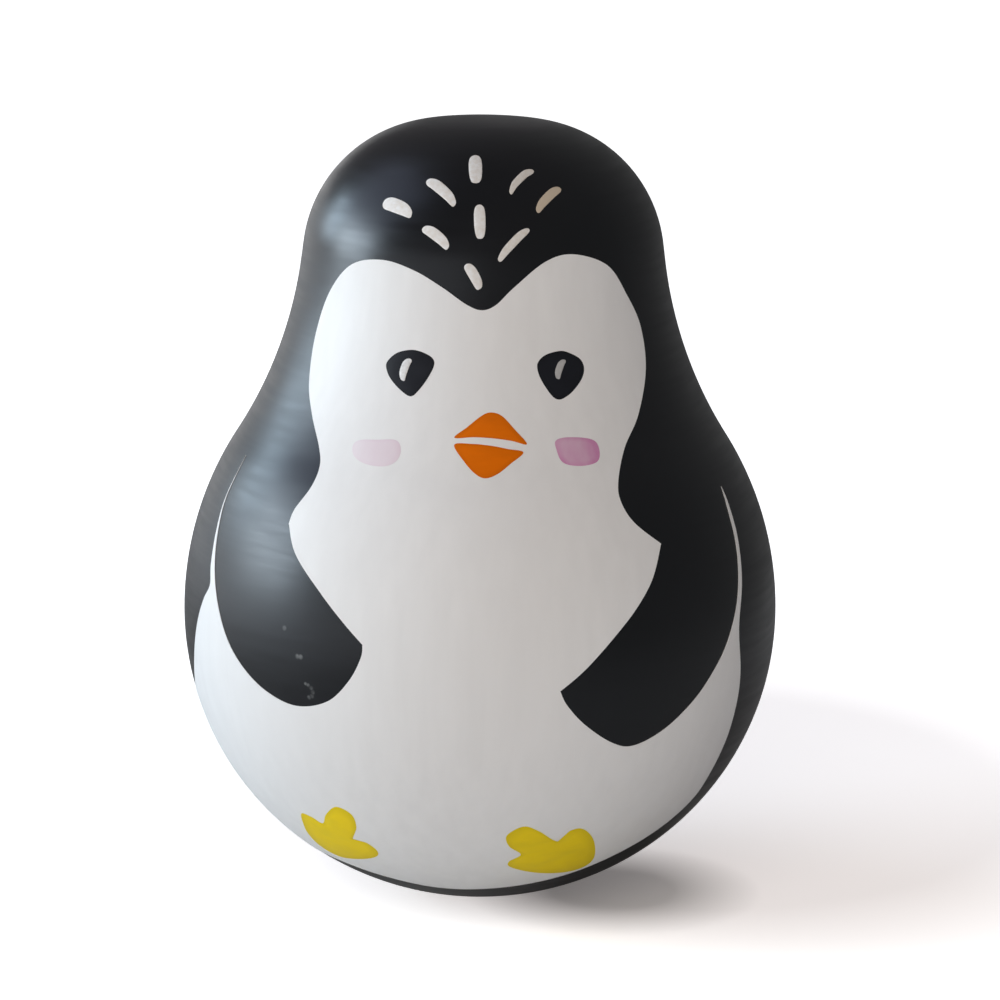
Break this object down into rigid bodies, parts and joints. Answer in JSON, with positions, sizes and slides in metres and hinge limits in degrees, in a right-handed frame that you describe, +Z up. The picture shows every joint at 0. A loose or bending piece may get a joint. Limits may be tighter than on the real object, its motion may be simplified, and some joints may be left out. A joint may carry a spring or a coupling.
{
  "type": "roly poly toy",
  "caption": "Turned wooden roly poly toy painted as a penguin, with a weighted round base that rights it and a rod chime with a swinging clapper inside.",
  "frame": {"origin": "the middle of the small flat under the round base, on the turning axis", "axes": "+Z up along the turning axis, -Y towards the painted face, +X to the right of someone facing it"},
  "size_m": [0.091, 0.0912, 0.12],
  "materials": {
    "black_wood": "satin",
    "white_paint": "satin",
    "black_paint": "satin",
    "orange_paint": "satin",
    "pink_paint": "matte",
    "yellow_paint": "satin",
    "cast_weight": "matte",
    "beech": "matte",
    "steel": "satin",
    "screw_steel": "satin",
    "brass": "polished"
  },
  "bodies": {
    "toy": {"upper_shell": "black_wood", "lower_shell": "black_wood", "ballast_weight": "cast_weight", "ballast_screws": "screw_steel", "chime_block": "beech", "block_screws": "screw_steel", "chime_rod_1": "steel", "chime_rod_2": "steel", "chime_rod_3": "steel", "chime_rod_4": "steel", "chime_rod_5": "steel", "chime_rod_6": "steel", "chime_rod_7": "steel", "chime_rod_8": "steel", "left_post": "steel", "right_post": "steel", "cross_bar": "steel", "swivel_collars": "steel", "white_front": "white_paint", "crown_strokes": "white_paint", "eyes": "black_paint", "eye_glints": "white_paint", "beak": "orange_paint", "cheeks": "pink_paint", "feet": "yellow_paint"},
    "swivel": {"swivel_block": "brass", "swivel_pin": "steel"},
    "clapper": {"clapper_stem": "steel", "clapper_ball": "brass"}
  },
  "joints": [
    {"name": "clapper_rock", "type": "hinge", "parent": "toy", "child": "swivel", "pos_m": [0, 0, 0.0655], "axis": [1, 0, 0], "range_deg": [-20.8, 20.8]},
    {"name": "clapper_sway", "type": "hinge", "parent": "swivel", "child": "clapper", "pos_m": [0, 0, 0.058], "axis": [0, 1, 0], "range_deg": [-32.2, 32.2]}
  ]
}
